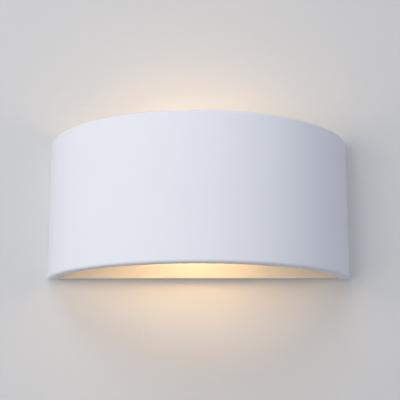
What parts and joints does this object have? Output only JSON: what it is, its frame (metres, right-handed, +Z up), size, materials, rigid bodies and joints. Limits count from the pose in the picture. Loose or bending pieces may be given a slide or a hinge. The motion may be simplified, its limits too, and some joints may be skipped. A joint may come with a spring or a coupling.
{
  "type": "half-round wall light",
  "caption": "Half-round plaster wall light, open above and below, on a steel wall bracket with a screw-in lamp lying across the inside.",
  "frame": {"origin": "middle of the back, on the wall plane, where the bracket meets the wall", "axes": "+Y into the wall, so the light stands out towards -Y; +Z up; +X to the right of someone facing the wall"},
  "size_m": [0.3, 0.115, 0.14],
  "materials": {
    "plaster": "matt, hand-finished",
    "zinc_plated_steel": "zinc-plated, passivated",
    "bright_steel": "bright",
    "brass": "satin",
    "bronze": "rolled strip",
    "porcelain": "glazed",
    "opal_glass": "satin opal",
    "clear_glass": "clear",
    "nickel_plate": "nickel-plated",
    "black_glass": "pressed glass",
    "solder": "dull",
    "phosphor": "phosphor-coated",
    "circuit_board": "lacquered",
    "white_nylon": "moulded",
    "brown_silicone": "extruded",
    "blue_silicone": "extruded",
    "green_yellow_silicone": "extruded, striped",
    "tinned_copper": "tinned",
    "black_rubber": "moulded"
  },
  "bodies": {
    "bracket": {"wall_bracket": "zinc_plated_steel", "hanging_studs": "bright_steel", "holder_arm": "zinc_plated_steel", "arm_rivets": "bright_steel", "lampholder_body": "porcelain", "lampholder_base": "porcelain", "lampholder_thread": "brass", "centre_contact": "bronze", "shell_contact": "bronze", "lampholder_screws": "bright_steel", "lampholder_terminal_screws": "brass", "terminal_block": "white_nylon", "terminal_tubes": "brass", "terminal_screws": "bright_steel", "terminal_block_screws": "bright_steel", "live_lead": "brown_silicone", "neutral_lead": "blue_silicone", "earth_lead": "green_yellow_silicone", "earth_tag": "tinned_copper", "earth_stud": "bright_steel", "earth_washer": "bright_steel", "earth_nut": "brass", "cable_grommet": "black_rubber"},
    "shell": {"plaster_shell": "plaster", "stud_washers": "bright_steel"},
    "nut_left": {"thumb_nut_left": "brass"},
    "nut_right": {"thumb_nut_right": "brass"},
    "lamp_foot": {"lamp_contact": "solder"},
    "lamp": {"lamp_glass": "opal_glass", "lamp_cap": "nickel_plate", "lamp_insulator": "black_glass", "lamp_stem": "clear_glass", "lamp_filaments": "phosphor", "filament_wires": "bright_steel", "lamp_driver": "circuit_board"}
  },
  "joints": [
    {"name": "shell_pull", "type": "slide", "parent": "bracket", "child": "shell", "axis": [0, -1, 0], "range_m": [0, 0.02]},
    {"name": "nut_left_turn", "type": "hinge", "parent": "shell", "child": "nut_left", "pos_m": [-0.06, -0.01, 0.0575], "axis": [0, -1, 0], "continuous": true},
    {"name": "nut_right_turn", "type": "hinge", "parent": "shell", "child": "nut_right", "pos_m": [0.06, -0.01, 0.0575], "axis": [0, -1, 0], "continuous": true},
    {"name": "lamp_out", "type": "slide", "parent": "bracket", "child": "lamp_foot", "axis": [-1, 0, 0], "range_m": [0, 0.0128]},
    {"name": "lamp_turn", "type": "hinge", "parent": "lamp_foot", "child": "lamp", "pos_m": [0.06677, -0.048, 0], "axis": [-1, 0, 0], "range_deg": [0, 1260]}
  ],
  "couplings": [
    {"joint": "lamp_out", "follows": "lamp_turn", "m_per_rad": 0.00057757}
  ]
}
